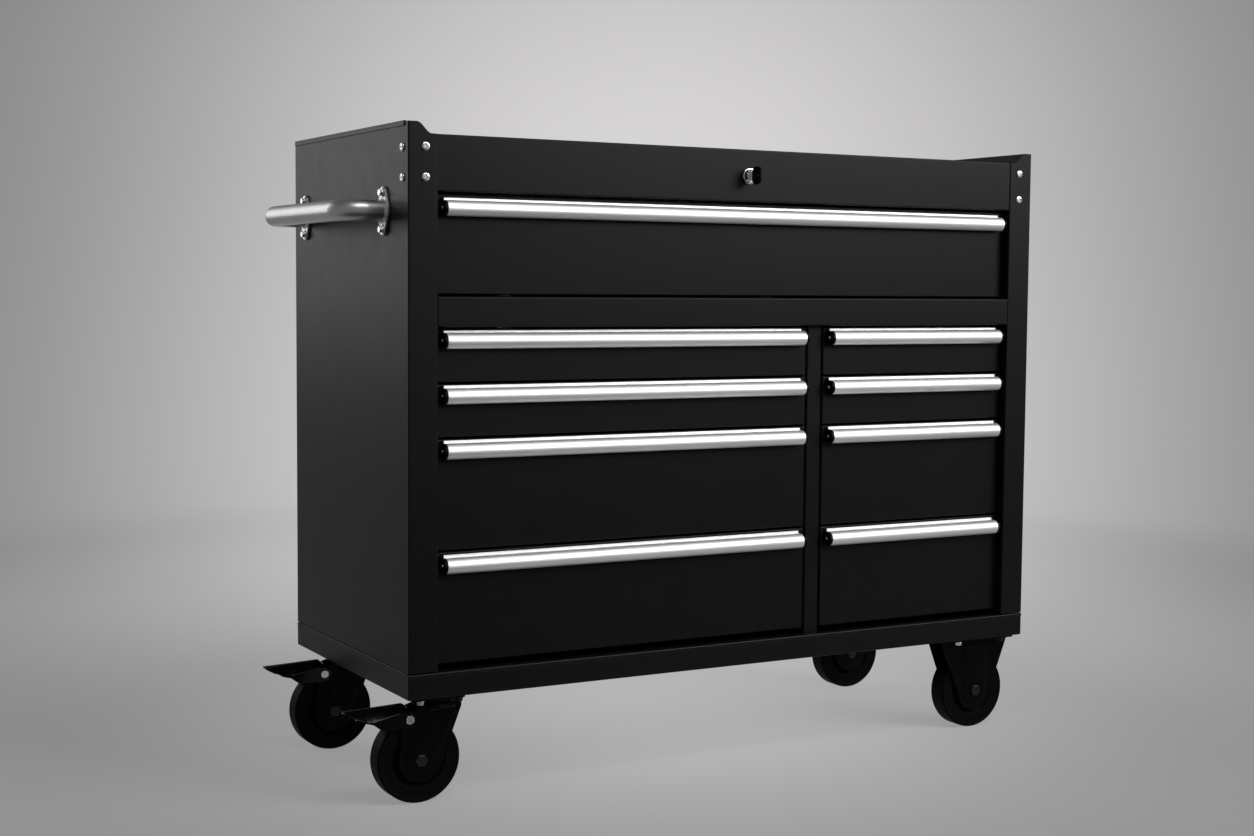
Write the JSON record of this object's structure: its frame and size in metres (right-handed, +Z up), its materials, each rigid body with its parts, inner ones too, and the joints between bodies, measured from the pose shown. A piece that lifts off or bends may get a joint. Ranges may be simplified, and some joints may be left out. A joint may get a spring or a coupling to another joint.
{
  "type": "rolling tool chest",
  "caption": "Wide steel tool chest on casters with a full-width drawer over two banks of drawers, a recessed top, a keyed central lock and a side push handle.",
  "frame": {"origin": "on the floor, under the middle of the whole outline", "axes": "+X to the right as seen from the front, +Y from the front to the back, +Z up"},
  "size_m": [1.2016, 0.502, 0.9665],
  "materials": {
    "black_paint": "satin black powder coat",
    "aluminium": "fine brushed, clear anodised",
    "satin_chrome": "satin chrome tube",
    "bright_chrome": "polished chrome",
    "zinc_steel": "bright zinc plated",
    "tyre_rubber": "matt black solid rubber",
    "black_plastic": "moulded black plastic"
  },
  "bodies": {
    "cabinet": {"left_side_panel": "black_paint", "right_side_panel": "black_paint", "back_panel": "black_paint", "base_pan": "black_paint", "left_caster_channel": "black_paint", "right_caster_channel": "black_paint", "top_tray": "black_paint", "top_fascia": "black_paint", "middle_rail": "black_paint", "centre_divider": "black_paint", "left_slide_rack": "zinc_steel", "right_slide_rack": "zinc_steel", "divider_left_slide_rack": "zinc_steel", "divider_right_slide_rack": "zinc_steel", "lock_housing": "bright_chrome", "push_handle": "satin_chrome", "handle_front_bolts": "zinc_steel", "handle_rear_bolts": "zinc_steel", "front_left_caster_plate": "black_paint", "rear_left_caster_plate": "black_paint", "front_right_caster_bracket": "black_paint", "rear_right_caster_bracket": "black_paint", "front_right_axle": "zinc_steel", "rear_right_axle": "zinc_steel"},
    "top_drawer": {"top_drawer_tray": "black_paint", "top_drawer_pull": "aluminium"},
    "left_drawer_1": {"left_drawer_1_tray": "black_paint", "left_drawer_1_pull": "aluminium"},
    "left_drawer_2": {"left_drawer_2_tray": "black_paint", "left_drawer_2_pull": "aluminium"},
    "left_drawer_3": {"left_drawer_3_tray": "black_paint", "left_drawer_3_pull": "aluminium"},
    "left_drawer_4": {"left_drawer_4_tray": "black_paint", "left_drawer_4_pull": "aluminium"},
    "right_drawer_1": {"right_drawer_1_tray": "black_paint", "right_drawer_1_pull": "aluminium"},
    "right_drawer_2": {"right_drawer_2_tray": "black_paint", "right_drawer_2_pull": "aluminium"},
    "right_drawer_3": {"right_drawer_3_tray": "black_paint", "right_drawer_3_pull": "aluminium"},
    "right_drawer_4": {"right_drawer_4_tray": "black_paint", "right_drawer_4_pull": "aluminium"},
    "lock_cylinder": {"lock_plug": "bright_chrome"},
    "key": {"lock_key": "black_plastic"},
    "lock_lift": {"lock_bar": "zinc_steel"},
    "front_left_swivel": {"front_left_caster_fork": "black_paint", "front_left_axle": "zinc_steel"},
    "front_left_wheel": {"front_left_tyre": "tyre_rubber", "front_left_hub": "black_plastic"},
    "front_left_brake": {"front_left_brake_pedal": "black_paint"},
    "rear_left_swivel": {"rear_left_caster_fork": "black_paint", "rear_left_axle": "zinc_steel"},
    "rear_left_wheel": {"rear_left_tyre": "tyre_rubber", "rear_left_hub": "black_plastic"},
    "rear_left_brake": {"rear_left_brake_pedal": "black_paint"},
    "front_right_wheel": {"front_right_tyre": "tyre_rubber", "front_right_hub": "black_plastic"},
    "rear_right_wheel": {"rear_right_tyre": "tyre_rubber", "rear_right_hub": "black_plastic"}
  },
  "joints": [
    {"name": "top_drawer_slide", "type": "slide", "parent": "cabinet", "child": "top_drawer", "axis": [0, -1, 0], "range_m": [0, 0.3]},
    {"name": "left_drawer_1_slide", "type": "slide", "parent": "cabinet", "child": "left_drawer_1", "axis": [0, -1, 0], "range_m": [0, 0.3]},
    {"name": "left_drawer_2_slide", "type": "slide", "parent": "cabinet", "child": "left_drawer_2", "axis": [0, -1, 0], "range_m": [0, 0.3]},
    {"name": "left_drawer_3_slide", "type": "slide", "parent": "cabinet", "child": "left_drawer_3", "axis": [0, -1, 0], "range_m": [0, 0.3]},
    {"name": "left_drawer_4_slide", "type": "slide", "parent": "cabinet", "child": "left_drawer_4", "axis": [0, -1, 0], "range_m": [0, 0.3]},
    {"name": "right_drawer_1_slide", "type": "slide", "parent": "cabinet", "child": "right_drawer_1", "axis": [0, -1, 0], "range_m": [0, 0.3]},
    {"name": "right_drawer_2_slide", "type": "slide", "parent": "cabinet", "child": "right_drawer_2", "axis": [0, -1, 0], "range_m": [0, 0.3]},
    {"name": "right_drawer_3_slide", "type": "slide", "parent": "cabinet", "child": "right_drawer_3", "axis": [0, -1, 0], "range_m": [0, 0.3]},
    {"name": "right_drawer_4_slide", "type": "slide", "parent": "cabinet", "child": "right_drawer_4", "axis": [0, -1, 0], "range_m": [0, 0.3]},
    {"name": "lock_turn", "type": "hinge", "parent": "cabinet", "child": "lock_cylinder", "pos_m": [0.04025, -0.219, 0.9087], "axis": [0, 1, 0], "range_deg": [0, 90]},
    {"name": "lock_bar_lift", "type": "slide", "parent": "cabinet", "child": "lock_lift", "axis": [0, 0, 1], "range_m": [0, 0.01131]},
    {"name": "key_pull", "type": "slide", "parent": "lock_cylinder", "child": "key", "axis": [0, -1, 0], "range_m": [0, 0.035]},
    {"name": "front_left_swivel_turn", "type": "hinge", "parent": "cabinet", "child": "front_left_swivel", "pos_m": [-0.46675, -0.177, 0.155], "axis": [0, 0, 1], "continuous": true},
    {"name": "front_left_wheel_spin", "type": "hinge", "parent": "front_left_swivel", "child": "front_left_wheel", "pos_m": [-0.49175, -0.177, 0.0635], "axis": [0, 1, 0], "continuous": true},
    {"name": "front_left_brake_press", "type": "hinge", "parent": "front_left_swivel", "child": "front_left_brake", "pos_m": [-0.50875, -0.177, 0.124], "axis": [0, -1, 0], "range_deg": [0, 11]},
    {"name": "rear_left_swivel_turn", "type": "hinge", "parent": "cabinet", "child": "rear_left_swivel", "pos_m": [-0.46675, 0.174, 0.155], "axis": [0, 0, 1], "continuous": true},
    {"name": "rear_left_wheel_spin", "type": "hinge", "parent": "rear_left_swivel", "child": "rear_left_wheel", "pos_m": [-0.49175, 0.174, 0.0635], "axis": [0, 1, 0], "continuous": true},
    {"name": "rear_left_brake_press", "type": "hinge", "parent": "rear_left_swivel", "child": "rear_left_brake", "pos_m": [-0.50875, 0.174, 0.124], "axis": [0, -1, 0], "range_deg": [0, 11]},
    {"name": "front_right_wheel_spin", "type": "hinge", "parent": "cabinet", "child": "front_right_wheel", "pos_m": [0.51725, -0.177, 0.0635], "axis": [0, 1, 0], "continuous": true},
    {"name": "rear_right_wheel_spin", "type": "hinge", "parent": "cabinet", "child": "rear_right_wheel", "pos_m": [0.51725, 0.174, 0.0635], "axis": [0, 1, 0], "continuous": true}
  ],
  "couplings": [
    {"joint": "lock_turn", "follows": "lock_bar_lift", "rad_per_m": 138.83}
  ]
}
